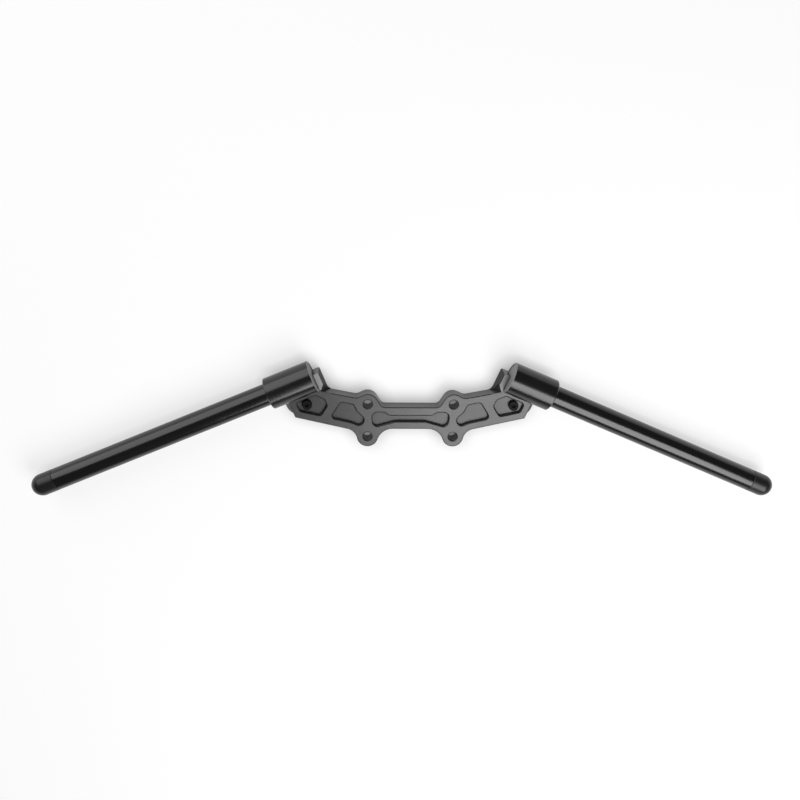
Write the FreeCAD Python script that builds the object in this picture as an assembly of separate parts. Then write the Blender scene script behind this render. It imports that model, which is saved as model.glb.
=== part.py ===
import FreeCAD, Part
import math
import os

from FreeCAD import Vector

# Handlebar adapter plate with its two bars, in millimetres.
# The origin is the centre of the four clamp bolts, on the plate's underside.
# +X is to the rider's right, +Y is forward, away from the rider, and +Z is up.
# The right half is modelled, and the left half is its mirror image.

# Clamp bolts
BOLT_SPACING_X = 86.0
BOLT_SPACING_Y = 33.6
BOLT_HOLE_D = 9.0
BOSS_WALL = 6.1
FRONT_BOSS_FLANKS = (65.0, 148.0)

# Plate
PLATE_T = 18.0
WEB_FRONT = 13.8
WEB_REAR = 8.8
FRONT_EDGE_LEAD = 4.3
REAR_EDGE_LEAD = 3.32
EDGE_BREAK = 0.6
FRONT_WEB_FILLET = 6.0
REAR_WEB_FILLET = 16.0
FRONT_SADDLE_FILLET = 8.0
REAR_SADDLE_FILLET = 13.0
CORNER_ROUND = 1.2

# Bars: the inner end of each socket, the sweep back, and the height of the axis
BAR_X = 96.8
BAR_Y = 46.8
BAR_SWEEP = 22.9
AXIS_Z = 22.0
BAR_REACH = 303.2
TUBE_D = 22.2
TUBE_SEAT_D = 21.0
TUBE_WALL = 2.6

# Bar sockets
SOCKET_D = 32.0
SOCKET_LENGTH = 47.4
SOCKET_FLOOR = 10.0
SOCKET_CHAMFER = 0.9
FACE_RECESS_D = 27.0
FACE_RECESS_DEPTH = 0.5
FOOT_T = 10.0
FOOT_START = 8.2
FOOT_HEEL = 26.0
FOOT_MARGIN = 9.0
FOOT_ROUND = 8.0
FOOT_TOE = 5.8
FOOT_TOE_H = 3.0
FOOT_TOE_WIDTH = 29.0

# Tongue and ear that hold a socket; beside means square to the bar, in plan
TONGUE_LENGTH = 33.9
TONGUE_WIDTH = 33.5
TONGUE_REACH = 1.5
EAR_T = 6.2
EAR_RISE = 5.0
EAR_CORNER = 10.6
EAR_ROOT = 18.0
EAR_FILLET = 8.0
EAR_FACET_RUN = 10.0

# Pockets
POCKET_DEPTH = 4.0
POCKET_BREAK = 0.9
NECK_FRONT = 4.9
NECK_REAR = 1.0
HEAD_FRONT = 8.3
HEAD_REAR = 7.4
HEAD_SETBACK = 4.2
HEAD_REAR_SETBACK = 5.8
HEAD_LENGTH = 12.0
NECK_FLARE = 5.3
REAR_FLARE = 21.7
POCKET_WALL = 7.5
MID_BOLT_WALL = 8.8
MID_BOLT_FLANKS = (-24.0, -48.0)
MID_LOBE_GAP = 3.2
MID_LOBE_LEAD = 10.4
MID_LOBE_LENGTH = 3.0
MID_LOBE_ROUND = 4.1
MID_FLARE_ANGLE = 23.0
END_POCKET_RIM = 4.2
END_POCKET_WALL = 7.0
END_POCKET_SIDE = 7.0
END_POCKET_SHOULDER = 27.5
END_POCKET_HEEL = 34.5
POCKET_RIB = 9.5
POCKET_RIB_ANGLE = -58.0
POCKET_ROUND = 3.2
HEAD_ROUND = 5.0
NECK_ROUND = 10.0

# Socket screws, from the end pockets into the feet
SCREW_ALONG = 18.2
SCREW_BESIDE = 26.2
SCREW_D = 6.0
SCREW_LENGTH = 13.0
SCREW_HEAD_D = 10.0
SCREW_HEAD_H = 4.0
SCREW_HEX = 4.0
SCREW_HEX_DEPTH = 2.2
SCREW_CHAMFER = 0.5

# Grub screws, up through the feet to the bars
GRUB_ALONG = 26.0
GRUB_D = 6.0
GRUB_SUNK = 0.3
GRUB_HEX = 3.0
GRUB_HEX_DEPTH = 2.4
GRUB_CHAMFER = 0.5

# End caps
CAP_LENGTH = 25.6
CAP_SPIGOT = 18.0
CAP_SEAM = 0.4

# Fits: gaps on each side
BOLT_FIT = 0.2
BORE_FIT = 0.05
SPIGOT_FIT = 0.05
SADDLE_FIT = 0.1
FOOT_FIT = 0.15
THREAD_FIT = 0.05
TUBE_END_GAP = 0.2

BOLT_X = BOLT_SPACING_X / 2
BOLT_Y = BOLT_SPACING_Y / 2
BOSS_R = BOLT_HOLE_D / 2 + BOSS_WALL
POCKET_FLOOR = PLATE_T - POCKET_DEPTH
SOCKET_R = SOCKET_D / 2
UP = Vector(0, 0, 1)
OVERCUT = 5.0
SAME_POINT = 1e-6


def heading(degrees):
    """Unit vector in plan at an angle from +X."""
    return Vector(math.cos(math.radians(degrees)), math.sin(math.radians(degrees)), 0)


BAR_AXIS = heading(-BAR_SWEEP)
BAR_SIDE = heading(90 - BAR_SWEEP)


def beside_bar(along, beside, z=0.0):
    """Point by its distance along the right bar and beside it, forward positive."""
    return Vector(BAR_X, BAR_Y, z) + BAR_AXIS * along + BAR_SIDE * beside


def meet(point_a, angle_a, point_b, angle_b):
    """Plan point where two lines meet, each given by a point and its angle."""
    a, b = heading(angle_a), heading(angle_b)
    gap = point_b - point_a
    return point_a + a * ((gap.x * b.y - gap.y * b.x) / (a.x * b.y - a.y * b.x))


def plan_angle(start, end):
    """Angle from +X of the line between two plan points."""
    return math.degrees(math.atan2(end.y - start.y, end.x - start.x))


def shifted(point, angle, distance):
    """Point moved to the left of a line's direction by a distance."""
    return point + heading(angle + 90) * distance


def flank_meets(bolt, radius, normal, point, angle):
    """Corner where a line meets the flank with this normal, which touches a circle round a bolt."""
    return meet(bolt + heading(normal) * radius, normal + 90, point, angle)


def bolt_corner(bolt, radius, flanks):
    """Corner of two flanks on a circle round a bolt, so that its rounding is concentric with the bolt."""
    first, second = flanks
    return flank_meets(bolt, radius, first, bolt + heading(second) * radius, second + 90)


def fillet_turn(bolt, point, angle, fillet):
    """Angle from an edge to the flank's normal where a fillet runs from the edge into a bolt's boss."""
    lead = (bolt - point).dot(heading(angle + 90))
    return math.degrees(math.asin((fillet + lead) / (BOSS_R + fillet)))


def rounded_face(corners):
    """Face in plan from (point, radius) corners, with an arc at each; arcs shrink to fit a short side."""
    points = [point for point, radius in corners]
    sides = [after - point for point, after in zip(points, points[1:] + points[:1])]
    half_turns = [sides[index - 1].getAngle(side) / 2 for index, side in enumerate(sides)]
    runs = [radius * math.tan(half_turn) for (point, radius), half_turn in zip(corners, half_turns)]
    room = [side.Length / (run + after) for side, run, after in zip(sides, runs, runs[1:] + runs[:1])]
    starts, ends, edges = [], [], []
    for index, (point, radius) in enumerate(corners):
        fit = min(1.0, room[index - 1], room[index])
        before, after = Vector(sides[index - 1]).normalize(), Vector(sides[index]).normalize()
        start, end = point - before * (runs[index] * fit), point + after * (runs[index] * fit)
        rise = radius * fit * (1 / math.cos(half_turns[index]) - 1)
        edges.append(Part.Arc(start, point + (after - before).normalize() * rise, end).toShape())
        starts.append(start)
        ends.append(end)
    for end, start in zip(ends, starts[1:] + starts[:1]):
        if end.distanceToPoint(start) > SAME_POINT:
            edges.append(Part.makeLine(end, start))
    wire = Part.Wire(Part.__sortEdges__(edges))
    return Part.Face(wire)


def prism(face, bottom, top):
    """Upright solid on a plan face, between two heights."""
    solid = face.copy()
    solid.translate(UP * bottom)
    return solid.extrude(UP * (top - bottom))


def both_sides(corners):
    """Closed list of corners from its right half, mirrored to the left."""
    mirrored = [(Vector(-point.x, point.y, 0), radius) for point, radius in reversed(corners)]
    return corners + mirrored


def mirror(shape):
    """The left piece that matches a right one."""
    return shape.mirror(Vector(0, 0, 0), Vector(1, 0, 0))


def bar_rod(diameter, start, end):
    """Round rod on the right bar's axis, between two distances along it."""
    return Part.makeCylinder(diameter / 2, end - start, beside_bar(start, 0, AXIS_Z), BAR_AXIS)


def end_edges(shape, along):
    """Circular edges of a turned piece that lie at a distance along the right bar."""
    plane = beside_bar(along, 0, AXIS_Z)
    return [edge for edge in shape.Edges
            if all(abs((vertex.Point - plane).dot(BAR_AXIS)) < 1e-4 for vertex in edge.Vertexes)]


def level_edges(shape, z):
    """Edges of a shape that lie at one height."""
    return [edge for edge in shape.Edges
            if abs(edge.BoundBox.ZMin - z) < 1e-4 and abs(edge.BoundBox.ZMax - z) < 1e-4]


def top_edges(plate):
    """Edges round the plate's top face, and edges of the openings in it."""
    top = [face for face in plate.Faces if abs(face.BoundBox.ZMin - PLATE_T) < 1e-4][0]
    openings = [edge for wire in top.Wires if not wire.isSame(top.OuterWire) for edge in wire.Edges]
    return top.OuterWire.Edges, openings


def hexagon(across_flats, bottom, top):
    """Upright hexagonal prism on the Z axis."""
    radius = across_flats / math.sqrt(3)
    points = [heading(60 * corner) * radius for corner in range(7)]
    return prism(Part.Face(Part.makePolygon(points)), bottom, top)


# Outline of the plate
FRONT_BOLT = Vector(BOLT_X, BOLT_Y, 0)
REAR_BOLT = Vector(BOLT_X, -BOLT_Y, 0)
EAR_ROOT_POINT = beside_bar(0, -EAR_ROOT)
EAR_CORNER_POINT = beside_bar(-EAR_T, -EAR_CORNER)
TONGUE_CORNER = beside_bar(TONGUE_LENGTH, -TONGUE_WIDTH)
REAR_EDGE_POINT = REAR_BOLT + Vector(0, REAR_EDGE_LEAD, 0)
REAR_EDGE_ANGLE = plan_angle(REAR_EDGE_POINT, TONGUE_CORNER)
FRONT_EDGE_ANGLE = plan_angle(FRONT_BOLT + Vector(0, FRONT_EDGE_LEAD, 0), EAR_ROOT_POINT)
EAR_FOOT_POINT = meet(EAR_CORNER_POINT, 90 - BAR_SWEEP, EAR_ROOT_POINT, FRONT_EDGE_ANGLE)
FOOT_END = TONGUE_LENGTH + FOOT_TOE


def plate_outline():
    """Plan face of the whole plate, with its tongues."""
    front_web = Vector(0, WEB_FRONT, 0)
    rear_web = Vector(0, -WEB_REAR, 0)
    rear_in = 180 + fillet_turn(REAR_BOLT, rear_web, 0, REAR_WEB_FILLET)
    rear_out = REAR_EDGE_ANGLE - fillet_turn(REAR_BOLT, REAR_EDGE_POINT, REAR_EDGE_ANGLE, REAR_SADDLE_FILLET)
    front_out, front_in = FRONT_BOSS_FLANKS
    right = [
        (flank_meets(REAR_BOLT, BOSS_R, rear_in, rear_web, 0), REAR_WEB_FILLET),
        (bolt_corner(REAR_BOLT, BOSS_R, (rear_in, rear_out)), BOSS_R),
        (flank_meets(REAR_BOLT, BOSS_R, rear_out, REAR_EDGE_POINT, REAR_EDGE_ANGLE), REAR_SADDLE_FILLET),
        (TONGUE_CORNER, CORNER_ROUND),
        (beside_bar(TONGUE_LENGTH, TONGUE_REACH), CORNER_ROUND),
        (beside_bar(-EAR_T, TONGUE_REACH), CORNER_ROUND),
        (EAR_FOOT_POINT, EAR_FILLET),
        (flank_meets(FRONT_BOLT, BOSS_R, front_out, EAR_ROOT_POINT, FRONT_EDGE_ANGLE), FRONT_SADDLE_FILLET),
        (bolt_corner(FRONT_BOLT, BOSS_R, FRONT_BOSS_FLANKS), BOSS_R),
        (flank_meets(FRONT_BOLT, BOSS_R, front_in, front_web, 0), FRONT_WEB_FILLET),
    ]
    return rounded_face(both_sides(right))


def dog_bone():
    """Plan face of the pocket between the four bolts."""
    head_end = BOLT_X - HEAD_SETBACK
    head_start = head_end - HEAD_LENGTH
    rear_end = BOLT_X - HEAD_REAR_SETBACK
    right = [
        (Vector(rear_end - REAR_FLARE, -NECK_REAR, 0), NECK_ROUND),
        (Vector(rear_end, -HEAD_REAR, 0), HEAD_ROUND),
        (Vector(head_end, HEAD_FRONT, 0), HEAD_ROUND),
        (Vector(head_start, HEAD_FRONT, 0), HEAD_ROUND),
        (Vector(head_start - NECK_FLARE, NECK_FRONT, 0), HEAD_ROUND),
    ]
    return rounded_face(both_sides(right))


def end_pocket():
    """Plan face of the right end pocket, which follows the socket, the end and the rear edge."""
    side = SOCKET_R + END_POCKET_RIM
    end = TONGUE_LENGTH - END_POCKET_WALL
    rear = shifted(REAR_EDGE_POINT, REAR_EDGE_ANGLE, POCKET_WALL)
    heel = beside_bar(0, -END_POCKET_HEEL)
    corners = [
        beside_bar(END_POCKET_SIDE, -side),
        beside_bar(0, -END_POCKET_SHOULDER),
        heel,
        meet(heel, POCKET_RIB_ANGLE, rear, REAR_EDGE_ANGLE),
        meet(beside_bar(end, 0), 90 - BAR_SWEEP, rear, REAR_EDGE_ANGLE),
        beside_bar(end, -side),
    ]
    return rounded_face([(corner, POCKET_ROUND) for corner in corners])


def mid_pocket():
    """Plan face of the right middle pocket, which curves round the front bolt, a rib from the end pocket."""
    front = shifted(EAR_ROOT_POINT, FRONT_EDGE_ANGLE, -POCKET_WALL)
    rear = shifted(REAR_EDGE_POINT, REAR_EDGE_ANGLE, POCKET_WALL)
    rib = shifted(beside_bar(0, -END_POCKET_HEEL), POCKET_RIB_ANGLE, -POCKET_RIB)
    bend = BOLT_HOLE_D / 2 + MID_BOLT_WALL
    outer_flank, lobe_flank = MID_BOLT_FLANKS
    lobe_end = Vector(BOLT_X + MID_LOBE_GAP, 0, 0)
    lobe_front = flank_meets(FRONT_BOLT, bend, lobe_flank, lobe_end, 90)
    lobe_rear = REAR_BOLT + Vector(MID_LOBE_GAP + MID_LOBE_LENGTH, MID_LOBE_LEAD, 0)
    corners = [
        (lobe_front, MID_LOBE_ROUND),
        (lobe_rear, MID_LOBE_ROUND),
        (meet(lobe_rear, MID_FLARE_ANGLE, rear, REAR_EDGE_ANGLE), POCKET_ROUND),
        (meet(rib, POCKET_RIB_ANGLE, rear, REAR_EDGE_ANGLE), POCKET_ROUND),
        (meet(rib, POCKET_RIB_ANGLE, front, FRONT_EDGE_ANGLE), POCKET_ROUND),
        (flank_meets(FRONT_BOLT, bend, outer_flank, front, FRONT_EDGE_ANGLE), POCKET_ROUND),
        (bolt_corner(FRONT_BOLT, bend, MID_BOLT_FLANKS), bend),
    ]
    return rounded_face(corners)


def foot_face(gap):
    """Plan face of the right socket's foot, grown by a gap; it is flush with the tongue in front."""
    start = FOOT_START - gap
    tail = SCREW_BESIDE + FOOT_MARGIN + gap
    corners = [
        (beside_bar(start, TONGUE_REACH), CORNER_ROUND),
        (beside_bar(start, -tail), FOOT_ROUND + gap),
        (beside_bar(FOOT_HEEL, -tail), FOOT_ROUND + gap),
        (beside_bar(FOOT_END, -FOOT_TOE_WIDTH - gap), FOOT_ROUND + gap),
        (beside_bar(FOOT_END, TONGUE_REACH), CORNER_ROUND),
    ]
    return rounded_face(corners)


def ear():
    """Upright ear at the inner end of the right socket, from the underside to its top."""
    corners = [
        (beside_bar(0, TONGUE_REACH), CORNER_ROUND),
        (beside_bar(-EAR_T, TONGUE_REACH), CORNER_ROUND),
        (EAR_CORNER_POINT, CORNER_ROUND),
        (EAR_ROOT_POINT, CORNER_ROUND),
    ]
    top = PLATE_T + EAR_RISE
    block = prism(rounded_face(corners), EDGE_BREAK, top)
    return block.makeChamfer(EDGE_BREAK, level_edges(block, top))


def ear_relief():
    """What is cut away beside the ear's root, above a facet that slopes down to the ear's foot."""
    corner, root = EAR_CORNER_POINT + UP * PLATE_T, EAR_ROOT_POINT + UP * PLATE_T
    fall = heading(180 + FRONT_EDGE_ANGLE) * EAR_FACET_RUN - UP * PLATE_T
    plan = [corner, root, root + fall * 2, corner + fall * 2]
    facet = Part.Face(Part.makePolygon(plan + plan[:1]))
    return facet.extrude(UP * (2 * PLATE_T + OVERCUT))


def toe_slope():
    """Wedge that slopes the top of the foot where it stands out past the tongue."""
    drop = FOOT_T - FOOT_TOE_H
    over = OVERCUT / FOOT_TOE
    section = [
        (TONGUE_LENGTH - FOOT_TOE * over, FOOT_T + drop * over),
        (FOOT_END + FOOT_TOE * over, FOOT_TOE_H - drop * over),
        (FOOT_END + FOOT_TOE * over, FOOT_T + drop * over),
    ]
    points = [beside_bar(along, -FOOT_TOE_WIDTH - OVERCUT, z) for along, z in section]
    wedge = Part.Face(Part.makePolygon(points + points[:1]))
    return wedge.extrude(BAR_SIDE * (FOOT_TOE_WIDTH + TONGUE_REACH + 2 * OVERCUT))


def socket_room():
    """What the right socket, its foot and its screw take out of the plate."""
    saddle = bar_rod(SOCKET_D + 2 * SADDLE_FIT, 0, SOCKET_LENGTH + OVERCUT)
    rebate = prism(foot_face(FOOT_FIT), -OVERCUT, FOOT_T)
    mouth = beside_bar(SCREW_ALONG, -SCREW_BESIDE, FOOT_T - OVERCUT)
    hole = Part.makeCylinder(SCREW_D / 2 + BOLT_FIT, PLATE_T, mouth)
    open_front = prism(rebate_mouth(), -OVERCUT, FOOT_T)
    return [saddle, rebate, open_front, hole]


def rebate_mouth():
    """Plan face that carries the foot's rebate out through the tongue's front edge."""
    start, end = FOOT_START - FOOT_FIT, FOOT_END
    front = TONGUE_REACH + OVERCUT
    plan = [(start, -OVERCUT), (end, -OVERCUT), (end, front), (start, front)]
    points = [beside_bar(along, beside) for along, beside in plan]
    return Part.Face(Part.makePolygon(points + points[:1]))


def adapter_plate():
    """The milled plate: outline, bolt holes, five pockets, two ears and the socket seats."""
    plate = prism(plate_outline(), 0, PLATE_T)
    right_pockets = [prism(face, POCKET_FLOOR, PLATE_T + OVERCUT) for face in (mid_pocket(), end_pocket())]
    bolt_holes = [Part.makeCylinder(BOLT_HOLE_D / 2, PLATE_T + OVERCUT, Vector(x, y, 0))
                  for x in (-BOLT_X, BOLT_X) for y in (-BOLT_Y, BOLT_Y)]
    dog_bone_room = prism(dog_bone(), POCKET_FLOOR, PLATE_T + OVERCUT)
    plate = plate.cut([dog_bone_room] + right_pockets + [mirror(room) for room in right_pockets])
    pocket_rims = top_edges(plate)[1]
    plate = plate.makeChamfer(POCKET_BREAK, pocket_rims).cut(bolt_holes)
    # The bolt holes stay sharp underneath, where the plate seats on its clamp.
    bottom = [edge for edge in level_edges(plate, 0) if not edge.isClosed()]
    mouths = [edge for edge in level_edges(plate, PLATE_T) if edge.isClosed()]
    plate = plate.makeChamfer(EDGE_BREAK, bottom + top_edges(plate)[0] + mouths)
    relief = ear_relief()
    plate = plate.cut([relief, mirror(relief)])
    right_ear = ear()
    plate = plate.fuse([right_ear, mirror(right_ear)])
    rooms = socket_room()
    plate = plate.cut(rooms + [mirror(room) for room in rooms])
    return plate.removeSplitter()


def bar_socket():
    """Right socket: a turned cup with a face recess, on a foot that reaches under the plate."""
    cup = bar_rod(SOCKET_D, 0, SOCKET_LENGTH)
    cup = cup.makeChamfer(SOCKET_CHAMFER, end_edges(cup, 0) + end_edges(cup, SOCKET_LENGTH))
    foot = prism(foot_face(0), 0, FOOT_T).cut(toe_slope())
    socket = cup.fuse(foot)
    bore = bar_rod(TUBE_SEAT_D + 2 * BORE_FIT, SOCKET_FLOOR, SOCKET_LENGTH + OVERCUT)
    recess = bar_rod(FACE_RECESS_D, -OVERCUT, FACE_RECESS_DEPTH)
    screw_hole = Part.makeCylinder(SCREW_D / 2 + THREAD_FIT, FOOT_T, beside_bar(SCREW_ALONG, -SCREW_BESIDE))
    grub_hole = Part.makeCylinder(GRUB_D / 2 + THREAD_FIT, AXIS_Z, beside_bar(GRUB_ALONG, 0))
    return socket.cut([bore, recess, screw_hole, grub_hole]).removeSplitter()


TUBE_START = SOCKET_FLOOR + TUBE_END_GAP
TUBE_END = BAR_REACH - CAP_LENGTH
TUBE_BORE_D = TUBE_D - 2 * TUBE_WALL


def bar_tube():
    """Right bar: a straight round tube, turned down to a shoulder where it enters the socket."""
    tube = bar_rod(TUBE_D, SOCKET_LENGTH, TUBE_END)
    tube = tube.makeChamfer(CAP_SEAM, end_edges(tube, TUBE_END))
    tube = tube.fuse(bar_rod(TUBE_SEAT_D, TUBE_START, SOCKET_LENGTH))
    return tube.cut(bar_rod(TUBE_BORE_D, TUBE_START - OVERCUT, TUBE_END + OVERCUT)).removeSplitter()


def end_cap():
    """Right end cap: a round-nosed head as wide as the bar, on a spigot inside it."""
    nose = BAR_REACH - TUBE_D / 2
    head = bar_rod(TUBE_D, TUBE_END, nose)
    head = head.makeChamfer(CAP_SEAM, end_edges(head, TUBE_END))
    dome = Part.makeSphere(TUBE_D / 2, beside_bar(nose, 0, AXIS_Z), BAR_AXIS, 0, 90, 360)
    head = head.fuse(dome)
    spigot = bar_rod(TUBE_BORE_D - 2 * SPIGOT_FIT, TUBE_END - CAP_SPIGOT, TUBE_END + OVERCUT)
    spigot = spigot.makeChamfer(CAP_SEAM, end_edges(spigot, TUBE_END - CAP_SPIGOT))
    return head.fuse(spigot).removeSplitter()


def socket_screw():
    """Right socket screw: a low head with a hexagon socket, on a plain shank."""
    head = Part.makeCylinder(SCREW_HEAD_D / 2, SCREW_HEAD_H)
    head = head.makeChamfer(SCREW_CHAMFER, level_edges(head, SCREW_HEAD_H))
    shank = Part.makeCylinder(SCREW_D / 2, SCREW_LENGTH, UP * -SCREW_LENGTH)
    shank = shank.makeChamfer(SCREW_CHAMFER, level_edges(shank, -SCREW_LENGTH))
    drive = hexagon(SCREW_HEX, SCREW_HEAD_H - SCREW_HEX_DEPTH, SCREW_HEAD_H + OVERCUT)
    screw = head.fuse(shank).cut(drive).removeSplitter()
    screw.translate(beside_bar(SCREW_ALONG, -SCREW_BESIDE, POCKET_FLOOR))
    return screw


def grub_screw():
    """Right grub screw: from just inside the foot's underside up to the bar."""
    length = AXIS_Z - TUBE_SEAT_D / 2 - BORE_FIT - GRUB_SUNK
    body = Part.makeCylinder(GRUB_D / 2, length)
    body = body.makeChamfer(GRUB_CHAMFER, level_edges(body, 0) + level_edges(body, length))
    screw = body.cut(hexagon(GRUB_HEX, -OVERCUT, GRUB_HEX_DEPTH))
    screw.translate(beside_bar(GRUB_ALONG, 0, GRUB_SUNK))
    return screw


def main():
    """Write one file for the plate and one for each piece on each side."""
    os.makedirs("parts", exist_ok=True)
    adapter_plate().exportStep("parts/adapter_plate.step")
    pieces = {
        "bar_socket": bar_socket(),
        "bar_tube": bar_tube(),
        "end_cap": end_cap(),
        "socket_screw": socket_screw(),
        "grub_screw": grub_screw(),
    }
    for name, piece in pieces.items():
        piece.exportStep(f"parts/right_{name}.step")
        mirror(piece).exportStep(f"parts/left_{name}.step")


main()
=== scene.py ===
"""Studio scene of a handlebar adapter plate: its finishes, the light and the camera, in metres."""

import logging
import math
from dataclasses import dataclass
from enum import Enum

import bpy
from mathutils import Matrix, Vector


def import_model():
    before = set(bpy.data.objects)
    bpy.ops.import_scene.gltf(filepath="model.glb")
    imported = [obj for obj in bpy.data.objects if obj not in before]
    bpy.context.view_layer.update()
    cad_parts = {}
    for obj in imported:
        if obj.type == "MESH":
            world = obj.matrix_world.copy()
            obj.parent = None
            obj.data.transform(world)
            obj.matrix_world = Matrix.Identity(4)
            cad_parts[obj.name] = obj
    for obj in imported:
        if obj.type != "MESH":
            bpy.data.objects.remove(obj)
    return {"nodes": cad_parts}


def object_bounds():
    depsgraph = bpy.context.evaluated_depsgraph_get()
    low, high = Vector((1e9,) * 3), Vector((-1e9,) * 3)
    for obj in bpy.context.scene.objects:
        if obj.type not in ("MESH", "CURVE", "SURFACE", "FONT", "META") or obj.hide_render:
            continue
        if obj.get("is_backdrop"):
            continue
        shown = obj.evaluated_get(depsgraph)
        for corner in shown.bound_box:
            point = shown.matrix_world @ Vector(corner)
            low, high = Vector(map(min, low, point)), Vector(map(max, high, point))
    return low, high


LOG = logging.getLogger("adapter_plate_scene")
IMAGE_SIDE_PX = 800
SENSOR_WIDTH_MM = 36.0

# Sweep of the bars, the span of grain and marks that moves a roughness, and the roughness of matt paint
SWEEP_DEG = 22.9
WANDER_SPAN = (0.2, 0.8)
MATT = 0.9

Colour = tuple[float, float, float]
Triple = tuple[float, float, float]

UP: Triple = (0.0, 0.0, 1.0)
INBOARD: Triple = (-math.cos(math.radians(SWEEP_DEG)), math.sin(math.radians(SWEEP_DEG)), 0.0)
WHITE: Colour = (1.0, 1.0, 1.0)


class Side(Enum):
    """The two bars, as the rider sits."""

    LEFT = "left"
    RIGHT = "right"

    @property
    def sign(self) -> float:
        """+1 for the right bar and -1 for the left one."""
        return 1.0 if self is Side.RIGHT else -1.0


class SocketKind(Enum):
    """Kinds of socket on a shader node group."""

    VALUE = "NodeSocketFloat"
    VECTOR = "NodeSocketVector"


class Graph:
    """Short way to place and join the nodes of one shader tree.

    A Mix node has sockets for every kind of data, and those of one kind are found by their place.
    """

    MIX_AMOUNT = 0
    MIX_VALUES, MIX_VALUE_OUT = (2, 3), 0
    MIX_COLOURS, MIX_COLOUR_OUT = (6, 7), 2

    def __init__(self, tree: bpy.types.NodeTree) -> None:
        """Keep the tree.

        Args:
            tree: Node tree of a material, a world or a group.
        """
        self.tree = tree

    def add(self, kind: str, **settings: object) -> bpy.types.Node:
        """Place a node and set its properties.

        Args:
            kind: Blender's name for the node type.
            settings: Node properties by name.

        Returns:
            The new node.
        """
        node = self.tree.nodes.new(kind)
        for name, value in settings.items():
            setattr(node, name, value)
        return node

    def feed(self, target: bpy.types.NodeSocket, source: object) -> None:
        """Join a socket to another one, or set it to a constant.

        Args:
            target: Input socket.
            source: Output socket, number or tuple.
        """
        if isinstance(source, bpy.types.NodeSocket):
            self.tree.links.new(source, target)
        else:
            target.default_value = source

    def calc(self, operation: str, first: object, second: object = 0.0) -> bpy.types.NodeSocket:
        """Work out one value from one or two others.

        Args:
            operation: Name of the Math node's operation.
            first: First operand.
            second: Second operand.

        Returns:
            The result's socket.
        """
        node = self.add("ShaderNodeMath", operation=operation)
        self.feed(node.inputs[0], first)
        self.feed(node.inputs[1], second)
        return node.outputs[0]

    def ramp(self, value: object, low: object, high: object, start: object,
             end: object) -> bpy.types.NodeSocket:
        """Map a value from one span to another, clamped.

        Args:
            value: Value to map.
            low: Start of the span it comes from.
            high: End of the span it comes from.
            start: Result at low.
            end: Result at high.

        Returns:
            The result's socket.
        """
        node = self.add("ShaderNodeMapRange")
        for index, source in enumerate((value, low, high, start, end)):
            self.feed(node.inputs[index], source)
        return node.outputs[0]

    def noise(self, scale: object, detail: float, vector: object) -> bpy.types.NodeSocket:
        """Grey noise over a place in space.

        Args:
            scale: Waves in one metre.
            detail: Number of finer layers.
            vector: Place to read the noise at.

        Returns:
            The noise's socket, from 0 to 1.
        """
        node = self.add("ShaderNodeTexNoise")
        self.feed(node.inputs["Scale"], scale)
        node.inputs["Detail"].default_value = detail
        self.feed(node.inputs["Vector"], vector)
        return node.outputs[0]

    def place(self) -> bpy.types.NodeSocket:
        """The surface point in the part's own frame."""
        return self.add("ShaderNodeTexCoord").outputs["Object"]

    def mix(self, amount: object, first: object, second: object) -> bpy.types.NodeSocket:
        """Blend two colours.

        Args:
            amount: Share of the second colour.
            first: Colour at 0.
            second: Colour at 1.

        Returns:
            The blend's socket.
        """
        node = self.add("ShaderNodeMix", data_type="RGBA")
        self.feed(node.inputs[self.MIX_AMOUNT], amount)
        for index, source in zip(self.MIX_COLOURS, (first, second)):
            self.feed(node.inputs[index], source)
        return node.outputs[self.MIX_COLOUR_OUT]

    def blend(self, amount: object, first: object, second: object) -> bpy.types.NodeSocket:
        """Blend two values.

        Args:
            amount: Share of the second value.
            first: Value at 0.
            second: Value at 1.

        Returns:
            The blend's socket.
        """
        node = self.add("ShaderNodeMix", data_type="FLOAT")
        self.feed(node.inputs[self.MIX_AMOUNT], amount)
        for index, source in zip(self.MIX_VALUES, (first, second)):
            self.feed(node.inputs[index], source)
        return node.outputs[self.MIX_VALUE_OUT]

    def middle(self, first: bpy.types.NodeSocket, second: bpy.types.NodeSocket) -> bpy.types.NodeSocket:
        """The mean of two values."""
        return self.calc("MULTIPLY", self.calc("ADD", first, second), 0.5)


def opaque(colour: Colour) -> tuple[float, float, float, float]:
    """A colour with full alpha."""
    return (*colour, 1.0)


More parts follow.
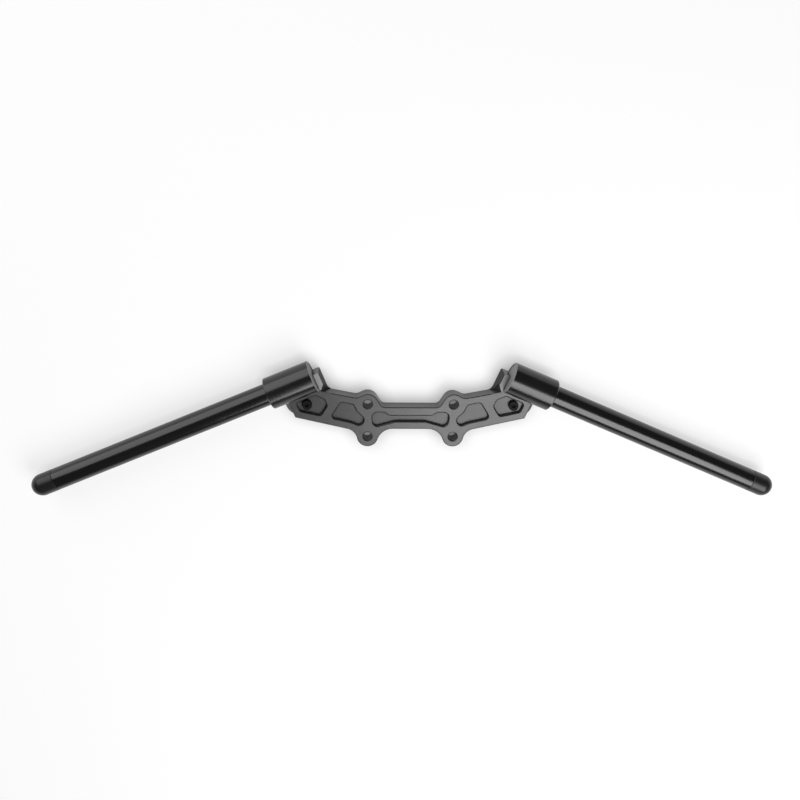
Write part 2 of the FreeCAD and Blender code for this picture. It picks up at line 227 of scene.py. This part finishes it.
class Effects:
    """Shader node groups that several finishes share, each built once."""

    GRAIN_FINE_LAYERS = 2.0
    MOTTLE_RATIO = 0.18
    MARK_LAYERS = 3.0
    MARK_LOW, MARK_HIGH = 0.35, 0.7
    EDGE_SAMPLES = 6
    RUB_LOW, RUB_HIGH = 0.01, 0.07
    EDGE_PATCH_SCALE = 260.0
    TURNED_COARSE = 0.23

    def __init__(self) -> None:
        """Build every group."""
        self.grain = self._grain()
        self.turned = self._turned()
        self.edge_wear_or_shade = self._edge_wear_or_shade()
        self.marks = self._marks()
        self.faces = self._faces()

    @staticmethod
    def _open(name: str, inputs: dict[str, SocketKind],
              outputs: dict[str, SocketKind]
              ) -> tuple[Graph, bpy.types.NodeOutputs, bpy.types.NodeInputs]:
        """Start a group with named sockets.

        Args:
            name: Name of the group.
            inputs: Input sockets and their kinds.
            outputs: Output sockets and their kinds.

        Returns:
            The group's graph, the sources of its inputs and the targets of its outputs.
        """
        tree = bpy.data.node_groups.new(name, "ShaderNodeTree")
        for socket, kind in inputs.items():
            tree.interface.new_socket(socket, in_out="INPUT", socket_type=kind.value)
        for socket, kind in outputs.items():
            tree.interface.new_socket(socket, in_out="OUTPUT", socket_type=kind.value)
        graph = Graph(tree)
        sources = graph.add("NodeGroupInput").outputs
        targets = graph.add("NodeGroupOutput").inputs
        return graph, sources, targets

    def _grain(self) -> bpy.types.NodeTree:
        """Blasted grain: fine pits with a coarser mottle.

        Returns:
            Group with Size in, Shade and Height out.
        """
        graph, given, result = self._open(
            "blasted_grain", {"Size": SocketKind.VALUE},
            {"Shade": SocketKind.VALUE, "Height": SocketKind.VALUE})
        scale = graph.calc("DIVIDE", 1.0, given["Size"])
        place = graph.place()
        fine = graph.noise(scale, self.GRAIN_FINE_LAYERS, place)
        coarse = graph.calc("MULTIPLY", scale, self.MOTTLE_RATIO)
        mottle = graph.noise(coarse, self.GRAIN_FINE_LAYERS, place)
        graph.feed(result["Shade"], graph.middle(fine, mottle))
        graph.feed(result["Height"], fine)
        return graph.tree

    def _turned(self) -> bpy.types.NodeTree:
        """Lines that a lathe leaves round an axis.

        Returns:
            Group with Axis and Pitch in, Shade and Height out.
        """
        graph, given, result = self._open(
            "turned_lines", {"Axis": SocketKind.VECTOR, "Pitch": SocketKind.VALUE},
            {"Shade": SocketKind.VALUE, "Height": SocketKind.VALUE})
        along = graph.add("ShaderNodeVectorMath", operation="DOT_PRODUCT")
        graph.feed(along.inputs[0], graph.place())
        graph.feed(along.inputs[1], given["Axis"])
        turns = graph.calc("DIVIDE", along.outputs["Value"], given["Pitch"])
        fine = graph.add("ShaderNodeTexNoise", noise_dimensions="1D")
        fine.inputs["Scale"].default_value = 1.0
        graph.feed(fine.inputs["W"], turns)
        coarse = graph.add("ShaderNodeTexNoise", noise_dimensions="1D")
        coarse.inputs["Scale"].default_value = self.TURNED_COARSE
        graph.feed(coarse.inputs["W"], turns)
        graph.feed(result["Shade"], graph.middle(fine.outputs[0], coarse.outputs[0]))
        graph.feed(result["Height"], fine.outputs[0])
        return graph.tree

    def _edge_wear_or_shade(self) -> bpy.types.NodeTree:
        """Edges that take another colour and roughness, found by rounding the normal, above a level of the
        part:
        worn edges, and on the plate painted shade along its top edges.

        Returns:
            Group with Radius, Evenness and Level in and Mask out.
        """
        values = ("Radius", "Evenness", "Level")
        graph, given, result = self._open(
            "worn_or_shaded_edges", {name: SocketKind.VALUE for name in values}, {"Mask": SocketKind.VALUE})
        rounded = graph.add("ShaderNodeBevel", samples=self.EDGE_SAMPLES)
        graph.feed(rounded.inputs["Radius"], given["Radius"])
        likeness = graph.add("ShaderNodeVectorMath", operation="DOT_PRODUCT")
        graph.feed(likeness.inputs[0], rounded.outputs[0])
        graph.feed(likeness.inputs[1], graph.add("ShaderNodeNewGeometry").outputs["Normal"])
        turn = graph.calc("SUBTRACT", 1.0, likeness.outputs["Value"])
        edge = graph.ramp(turn, self.RUB_LOW, self.RUB_HIGH, 0.0, 1.0)
        place = graph.place()
        patch = graph.noise(self.EDGE_PATCH_SCALE, self.MARK_LAYERS, place)
        cover = graph.blend(given["Evenness"], patch, 1.0)
        height = graph.add("ShaderNodeSeparateXYZ")
        graph.feed(height.inputs[0], place)
        above = graph.calc("GREATER_THAN", height.outputs["Z"], given["Level"])
        graph.feed(result["Mask"], graph.calc("MULTIPLY", above, graph.calc("MULTIPLY", edge, cover)))
        return graph.tree

    def _marks(self) -> bpy.types.NodeTree:
        """Soft clouds where hands have left the surface a little duller.

        Returns:
            Group with Size in and Mask out.
        """
        graph, given, result = self._open(
            "handling_marks", {"Size": SocketKind.VALUE}, {"Mask": SocketKind.VALUE})
        cloud = graph.noise(graph.calc("DIVIDE", 1.0, given["Size"]), self.MARK_LAYERS, graph.place())
        graph.feed(result["Mask"], graph.ramp(cloud, self.MARK_LOW, self.MARK_HIGH, 0.0, 1.0))
        return graph.tree

    def _faces(self) -> bpy.types.NodeTree:
        """Faces that look along an axis, between two levels on it, alike on the left and the right.

        Returns:
            Group with Axis, Level, Depth, Least and Most in and Mask out.
        """
        values = ("Level", "Depth", "Least", "Most")
        graph, given, result = self._open(
            "faces_along_axis",
            {"Axis": SocketKind.VECTOR} | {name: SocketKind.VALUE for name in values},
            {"Mask": SocketKind.VALUE})
        place = graph.add("ShaderNodeSeparateXYZ")
        graph.feed(place.inputs[0], graph.place())
        mirror = graph.calc("SIGN", place.outputs["X"])
        reach = self._along(graph, place, mirror, given["Axis"])
        normal = graph.add("ShaderNodeSeparateXYZ")
        graph.feed(normal.inputs[0], graph.add("ShaderNodeNewGeometry").outputs["Normal"])
        facing = self._along(graph, normal, mirror, given["Axis"])
        top = graph.calc("ADD", given["Level"], given["Depth"])
        lies = self._between(graph, reach, given["Level"], top)
        looks = self._between(graph, facing, given["Least"], given["Most"])
        graph.feed(result["Mask"], graph.calc("MULTIPLY", lies, looks))
        return graph.tree

    @staticmethod
    def _between(graph: Graph, value: bpy.types.NodeSocket, low: bpy.types.NodeSocket,
                 high: bpy.types.NodeSocket) -> bpy.types.NodeSocket:
        """Whether a value lies between two others.

        Args:
            graph: Graph to work in.
            value: Value to place.
            low: Lower limit.
            high: Upper limit.

        Returns:
            Socket with 1 between the limits and 0 elsewhere.
        """
        above = graph.calc("GREATER_THAN", value, low)
        return graph.calc("MULTIPLY", above, graph.calc("LESS_THAN", value, high))

    @staticmethod
    def _along(graph: Graph, vector: bpy.types.Node, mirror: bpy.types.NodeSocket,
               axis: bpy.types.NodeSocket) -> bpy.types.NodeSocket:
        """Part of a vector along an axis, once the left side is mirrored to the right.

        Args:
            graph: Graph to work in.
            vector: Node that gives the vector's three parts.
            mirror: -1 on the left side and 1 on the right.
            axis: The axis.

        Returns:
            The part's socket.
        """
        right = graph.add("ShaderNodeCombineXYZ")
        graph.feed(right.inputs["X"], graph.calc("MULTIPLY", vector.outputs["X"], mirror))
        graph.feed(right.inputs["Y"], vector.outputs["Y"])
        graph.feed(right.inputs["Z"], vector.outputs["Z"])
        part = graph.add("ShaderNodeVectorMath", operation="DOT_PRODUCT")
        graph.feed(part.inputs[0], right.outputs[0])
        graph.feed(part.inputs[1], axis)
        return part.outputs["Value"]


@dataclass(frozen=True)
class FaceCut:
    """Faces with another colour and roughness than the rest of a piece, placed on the right side and
    mirrored.

    They lie at a level on an axis and a depth beyond it, and they look along the axis: the cosine of the
    angle between the two is from least to most.
    """

    axis: Triple
    level: float
    depth: float
    colour: Colour
    roughness: float
    least: float = 0.65
    most: float = 1.1


@dataclass(frozen=True)
class Finish:
    """Black finish on metal: a body colour under a clear surface, with grain and edges of another colour.

    The edge values are for the edges: their colour and roughness, how wide they are, how fully they differ
    from the faces, how even that is, and the level of the part above which it holds. A lighter edge colour
    is wear; a darker one is painted shade.
    """

    name: str
    colour: Colour
    edge_wear_or_shade_colour: Colour
    roughness: float
    roughness_spread: float
    ior: float = 1.5
    shade_spread: float = 0.15
    edge_radius: float = 0.0006
    edge_wear_or_shade_share: float = 0.3
    edge_evenness: float = 0.0
    edge_level: float = -1.0
    edge_roughness: float = 0.4
    mark_size: float = 0.05
    bump_depth: float = 0.00002
    cuts: tuple[FaceCut, ...] = ()

    def texture(self, graph: Graph, effects: Effects) -> tuple[bpy.types.NodeSocket, bpy.types.NodeSocket]:
        """Place the group that gives the surface its grain.

        Args:
            graph: The material's graph.
            effects: Shared groups.

        Returns:
            Shade and height of the grain.
        """
        raise NotImplementedError

    def group(self, graph: Graph, tree: bpy.types.NodeTree, **values: object) -> bpy.types.Node:
        """Place a shared group with its own values.

        Args:
            graph: The material's graph.
            tree: The shared group.
            values: Input values by socket name.

        Returns:
            The group's node.
        """
        node = graph.add("ShaderNodeGroup", node_tree=tree)
        for name, value in values.items():
            graph.feed(node.inputs[name], value)
        return node

    def grained(self, graph: Graph, shade: bpy.types.NodeSocket, colour: Colour) -> bpy.types.NodeSocket:
        """A colour that varies with the grain.

        Args:
            graph: The material's graph.
            shade: Shade of the grain.
            colour: Middle colour.

        Returns:
            The colour's socket.
        """
        dark, light = (tuple(value * share for value in colour)
                       for share in (1 - self.shade_spread, 1 + self.shade_spread))
        return graph.mix(shade, opaque(dark), opaque(light))

    def wandering(self, graph: Graph, wander: bpy.types.NodeSocket,
                  roughness: float) -> bpy.types.NodeSocket:
        """A roughness that varies with the grain and the handling marks.

        Args:
            graph: The material's graph.
            wander: Grain and marks together, from 0 to 1.
            roughness: Middle roughness.

        Returns:
            The roughness's socket.
        """
        spread = self.roughness_spread
        return graph.ramp(wander, *WANDER_SPAN, roughness - spread, roughness + spread)

    def material(self, effects: Effects) -> bpy.types.Material:
        """Build the finish.

        Args:
            effects: Shared groups.

        Returns:
            The new material.
        """
        made = bpy.data.materials.new(self.name)
        made.use_nodes = True
        made.diffuse_color = opaque(self.colour)
        graph = Graph(made.node_tree)
        surface = made.node_tree.nodes["Principled BSDF"]
        surface.inputs["IOR"].default_value = self.ior
        shade, height = self.texture(graph, effects)
        edges = self.group(graph, effects.edge_wear_or_shade, Radius=self.edge_radius, Evenness=self.edge_evenness,
                           Level=self.edge_level).outputs["Mask"]
        # Lighter edges are wear; the plate's darker edges are painted shade along its top edges and pocket
        # rims.
        edge_wear_or_shade = graph.calc("MULTIPLY", edges, self.edge_wear_or_shade_share)
        colour = graph.mix(edge_wear_or_shade, self.grained(graph, shade, self.colour), opaque(self.edge_wear_or_shade_colour))
        marks = self.group(graph, effects.marks, Size=self.mark_size).outputs["Mask"]
        wander = graph.middle(shade, marks)
        roughness = graph.blend(edge_wear_or_shade, self.wandering(graph, wander, self.roughness), self.edge_roughness)
        # Each cut paints its faces another colour and roughness; the cuts here are painted shade and
        # painted light.
        for cut in self.cuts:
            mask = self.group(graph, effects.faces, Axis=cut.axis, Level=cut.level, Depth=cut.depth,
                              Least=cut.least, Most=cut.most).outputs["Mask"]
            colour = graph.mix(mask, colour, self.grained(graph, shade, cut.colour))
            roughness = graph.blend(mask, roughness, self.wandering(graph, wander, cut.roughness))
        graph.feed(surface.inputs["Base Color"], colour)
        graph.feed(surface.inputs["Roughness"], roughness)
        bump = graph.add("ShaderNodeBump")
        bump.inputs["Distance"].default_value = self.bump_depth
        graph.feed(bump.inputs["Height"], height)
        graph.feed(surface.inputs["Normal"], bump.outputs["Normal"])
        return made


@dataclass(frozen=True)
class BlastedFinish(Finish):
    """Finish with a fine blasted grain."""

    grain_size: float = 0.0005

    def texture(self, graph: Graph, effects: Effects) -> tuple[bpy.types.NodeSocket, bpy.types.NodeSocket]:
        """Place the blasted grain.

        Args:
            graph: The material's graph.
            effects: Shared groups.

        Returns:
            Shade and height of the grain.
        """
        node = self.group(graph, effects.grain, Size=self.grain_size)
        return node.outputs["Shade"], node.outputs["Height"]


@dataclass(frozen=True)
class TurnedFinish(Finish):
    """Finish with the fine lines of a lathe, round one bar's axis."""

    axis: Triple = (1.0, 0.0, 0.0)
    pitch: float = 0.0004

    def texture(self, graph: Graph, effects: Effects) -> tuple[bpy.types.NodeSocket, bpy.types.NodeSocket]:
        """Place the lathe lines.

        Args:
            graph: The material's graph.
            effects: Shared groups.

        Returns:
            Shade and height of the lines.
        """
        node = self.group(graph, effects.turned, Axis=self.axis, Pitch=self.pitch)
        return node.outputs["Shade"], node.outputs["Height"]


def dress(node: bpy.types.Object, material: bpy.types.Material) -> None:
    """Give a solid its finish.

    Args:
        node: Object of the solid.
        material: Finish to wear.
    """
    node.data.materials.clear()
    node.data.materials.append(material)
    LOG.info("%s wears %s", node.name, material.name)


# Painted light: the ear tops are painted pale grey so that they look lit.
PAINTED_LIGHT_EAR_TOPS = FaceCut(UP, level=0.0192, depth=0.01, colour=(0.3, 0.3, 0.3), roughness=0.5)
# Painted shade: the pocket floors are painted darker than the plate's top.
PAINTED_SHADE_POCKET_FLOORS = FaceCut(UP, level=0.0135, depth=0.001, colour=(0.036, 0.036, 0.0355), roughness=0.33)
# Painted shade: the chamfers round the plate's top and its pocket rims are painted near black.
PAINTED_SHADE_CHAMFERS = FaceCut(UP, level=0.017, depth=0.0012, colour=(0.005, 0.005, 0.005), roughness=0.5,
                    least=0.4, most=0.9)
# Painted shade: the inboard walls of the ears are painted near black.
PAINTED_SHADE_EAR_WALLS = FaceCut(INBOARD, level=-0.072, depth=0.012, colour=(0.01, 0.01, 0.01), roughness=0.75)
# Painted reflection: the sockets' inboard end faces are painted pale grey, standing in for the ear tops
# they reflect.
PAINTED_REFLECTION_SOCKET_ENDS = FaceCut(INBOARD, level=-0.0725, depth=0.004, colour=(0.24, 0.24, 0.24), roughness=0.5)


@dataclass
class AdapterPlate:
    """The milled plate that bolts in place of a handlebar."""

    nodes: dict[str, bpy.types.Object]
    # The plate's near-black edge colour is painted shade along its top edges and pocket rims.
    finish: BlastedFinish = BlastedFinish(
        name="blasted_black_anodise", colour=(0.05, 0.05, 0.049), edge_wear_or_shade_colour=(0.004, 0.004, 0.004),
        roughness=0.32, roughness_spread=0.03, ior=1.55, shade_spread=0.2, edge_radius=0.0013,
        edge_wear_or_shade_share=0.9, edge_evenness=0.8, edge_level=0.0165, edge_roughness=0.85,
        cuts=(PAINTED_LIGHT_EAR_TOPS, PAINTED_SHADE_POCKET_FLOORS, PAINTED_SHADE_CHAMFERS, PAINTED_SHADE_EAR_WALLS))

    def build(self, effects: Effects) -> None:
        """Dress the plate.

        Args:
            effects: Shared groups.
        """
        dress(self.nodes["adapter_plate"], self.finish.material(effects))


@dataclass
class BarSide:
    """One bar with its socket, cap and screws."""

    nodes: dict[str, bpy.types.Object]
    side: Side
    socket_roughness: float = 0.22
    tube_roughness: float = 0.2
    cap_roughness: float = 0.34
    screw_roughness: float = 0.6
    bar_ior: float = 1.55
    screw_ior: float = 1.25

    @property
    def axis(self) -> Triple:
        """Unit vector out along the bar."""
        return (-self.side.sign * INBOARD[0], -INBOARD[1], 0.0)

    def finishes(self) -> dict[str, Finish]:
        """Choose the finishes of this side.

        Returns:
            The finish of each piece, by the end of its name.
        """
        name = self.side.value
        oxide = BlastedFinish(
            name=f"{name}_black_oxide", colour=(0.004, 0.004, 0.004), edge_wear_or_shade_colour=(0.02, 0.02, 0.02),
            roughness=self.screw_roughness, roughness_spread=0.08, ior=self.screw_ior, grain_size=0.0003)
        return {
            "bar_socket": TurnedFinish(
                name=f"{name}_turned_anodise", colour=(0.006, 0.006, 0.006), edge_wear_or_shade_colour=(0.03, 0.03, 0.03),
                roughness=self.socket_roughness, roughness_spread=0.03, ior=self.bar_ior,
                axis=self.axis, pitch=0.0005, cuts=(PAINTED_REFLECTION_SOCKET_ENDS,)),
            "bar_tube": TurnedFinish(
                name=f"{name}_gloss_black", colour=(0.004, 0.004, 0.0042), edge_wear_or_shade_colour=(0.03, 0.03, 0.03),
                roughness=self.tube_roughness, roughness_spread=0.02, ior=self.bar_ior,
                axis=self.axis, pitch=0.0008, bump_depth=0.000004),
            "end_cap": TurnedFinish(
                name=f"{name}_satin_cap", colour=(0.008, 0.008, 0.008), edge_wear_or_shade_colour=(0.03, 0.03, 0.03),
                roughness=self.cap_roughness, roughness_spread=0.04, axis=self.axis, pitch=0.0006),
            "socket_screw": oxide,
            "grub_screw": oxide,
        }

    def build(self, effects: Effects) -> None:
        """Dress the pieces of this side.

        Args:
            effects: Shared groups.
        """
        made: dict[str, bpy.types.Material] = {}
        for piece, finish in self.finishes().items():
            if finish.name not in made:
                made[finish.name] = finish.material(effects)
            dress(self.nodes[f"{self.side.value}_{piece}"], made[finish.name])


@dataclass
class SoftBox:
    """Flat rectangular studio lamp."""

    name: str
    place: Triple
    aim: Triple
    width: float
    height: float
    radiance: float

    def build(self) -> bpy.types.Object:
        """Hang the lamp.

        Returns:
            The lamp's object.
        """
        lamp = bpy.data.lights.new(self.name, "AREA")
        lamp.shape = "RECTANGLE"
        lamp.size, lamp.size_y = self.width, self.height
        lamp.energy = self.radiance * math.pi * self.width * self.height
        box = bpy.data.objects.new(self.name, lamp)
        box.location = self.place
        box.rotation_euler = (Vector(self.aim) - Vector(self.place)).to_track_quat("-Z", "Y").to_euler()
        box.visible_camera = False
        bpy.context.scene.collection.objects.link(box)
        LOG.info("lamp %s, %.1f W", self.name, lamp.energy)
        return box


@dataclass
class Studio:
    """Pale floor, two soft boxes and a dim room."""

    floor_side: float = 16.0
    floor_colour: Colour = (0.3, 0.3, 0.3)
    floor_lift: float = 0.72
    shaded_lift: float = 0.15
    shade_reach: float = 0.016
    room_radiance: float = 0.1
    horizon_radiance: float = 0.76
    horizon_low: float = 0.1
    horizon_high: float = 0.22
    lamps: tuple[SoftBox, ...] = (
        SoftBox("key_box", (0.51, -0.675, 1.137), (0.51, -0.155, 0.0), 0.98, 1.155, 5.6),
        SoftBox("fill_box", (-0.944, 0.906, 0.80), (-0.144, 0.106, 0.02), 1.2, 1.4, 2.15),
    )

    def build(self, floor_level: float) -> None:
        """Set up the whole studio.

        Args:
            floor_level: Height of the floor, where the part rests.
        """
        self.floor(floor_level)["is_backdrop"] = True
        for lamp in self.lamps:
            lamp.build()
        self.room()

    def floor(self, level: float) -> bpy.types.Object:
        """Lay the floor.

        Args:
            level: Height of the floor.

        Returns:
            The floor's object.
        """
        half = self.floor_side / 2
        corners = [(x, y, level) for x, y in ((-half, -half), (half, -half), (half, half), (-half, half))]
        mesh = bpy.data.meshes.new("floor")
        mesh.from_pydata(corners, [], [(0, 1, 2, 3)])
        mesh.materials.append(self.floor_paint())
        ground = bpy.data.objects.new("floor", mesh)
        bpy.context.scene.collection.objects.link(ground)
        return ground

    def floor_paint(self) -> bpy.types.Material:
        """Matt pale paint that the camera and mirrors see lighter, except close beside the part, where
        ambient occlusion lowers the lift as painted shade.

        Returns:
            The floor's material.
        """
        paint = bpy.data.materials.new("pale_floor")
        paint.use_nodes = True
        graph = Graph(paint.node_tree)
        surface = paint.node_tree.nodes["Principled BSDF"]
        surface.inputs["Base Color"].default_value = opaque(self.floor_colour)
        surface.inputs["Roughness"].default_value = MATT
        surface.inputs["Specular IOR Level"].default_value = 0.0
        surface.inputs["Emission Color"].default_value = opaque(WHITE)
        path = graph.add("ShaderNodeLightPath").outputs
        seen = graph.calc("MAXIMUM", path["Is Camera Ray"], path["Is Glossy Ray"])
        seen = graph.calc("MAXIMUM", seen, path["Is Transmission Ray"])
        # Painted shade: the lift falls from floor_lift to shaded_lift where the part lies within
        # shade_reach.
        open_sky = graph.add("ShaderNodeAmbientOcclusion")
        open_sky.inputs["Distance"].default_value = self.shade_reach
        lift = graph.ramp(open_sky.outputs["AO"], 0.0, 1.0, self.shaded_lift, self.floor_lift)
        graph.feed(surface.inputs["Emission Strength"], graph.calc("MULTIPLY", seen, lift))
        return paint

    def room(self) -> None:
        """Light the room: pale at the horizon, like the floor, and dim above."""
        world = bpy.data.worlds.new("studio_room")
        world.use_nodes = True
        graph = Graph(world.node_tree)
        way = graph.add("ShaderNodeSeparateXYZ")
        graph.feed(way.inputs[0], graph.add("ShaderNodeTexCoord").outputs["Generated"])
        background = world.node_tree.nodes["Background"]
        background.inputs["Color"].default_value = opaque(WHITE)
        radiance = graph.ramp(way.outputs["Z"], self.horizon_low, self.horizon_high,
                              self.horizon_radiance, self.room_radiance)
        graph.feed(background.inputs["Strength"], radiance)
        bpy.context.scene.world = world


@dataclass
class PhotoCamera:
    """Camera at the photograph's place, turned from straight above."""

    aim: Triple = (-0.01103, 0.02155, 0.018)
    distance: float = 0.916
    tilt_deg: float = 16.40
    yaw_deg: float = 2.80
    roll_deg: float = -1.13
    focal_px: float = 920.6

    def build(self) -> bpy.types.Object:
        """Make the camera and give it to the scene.

        Returns:
            The camera's object.
        """
        turn = (Matrix.Rotation(math.radians(self.tilt_deg), 3, "X")
                @ Matrix.Rotation(math.radians(self.yaw_deg), 3, "Y")
                @ Matrix.Rotation(math.radians(self.roll_deg), 3, "Z")).transposed()
        lens = bpy.data.cameras.new("photo_camera")
        lens.sensor_fit = "HORIZONTAL"
        lens.sensor_width = SENSOR_WIDTH_MM
        lens.lens = self.focal_px * SENSOR_WIDTH_MM / IMAGE_SIDE_PX
        camera = bpy.data.objects.new("photo_camera", lens)
        place = Vector(self.aim) + turn @ Vector((0.0, 0.0, self.distance))
        camera.matrix_world = Matrix.Translation(place) @ turn.to_4x4()
        bpy.context.scene.collection.objects.link(camera)
        bpy.context.scene.camera = camera
        return camera


def main() -> None:
    """Load the solids, dress them, and set up the studio and the camera."""
    logging.basicConfig(level=logging.INFO, format="%(name)s: %(message)s")
    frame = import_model()
    solid_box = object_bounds()
    bpy.context.scene.view_settings.view_transform = "Standard"
    effects = Effects()
    AdapterPlate(frame["nodes"]).build(effects)
    for side in Side:
        BarSide(frame["nodes"], side).build(effects)
    Studio().build(floor_level=solid_box[0].z)
    PhotoCamera().build()


if __name__ == "__main__":
    main()
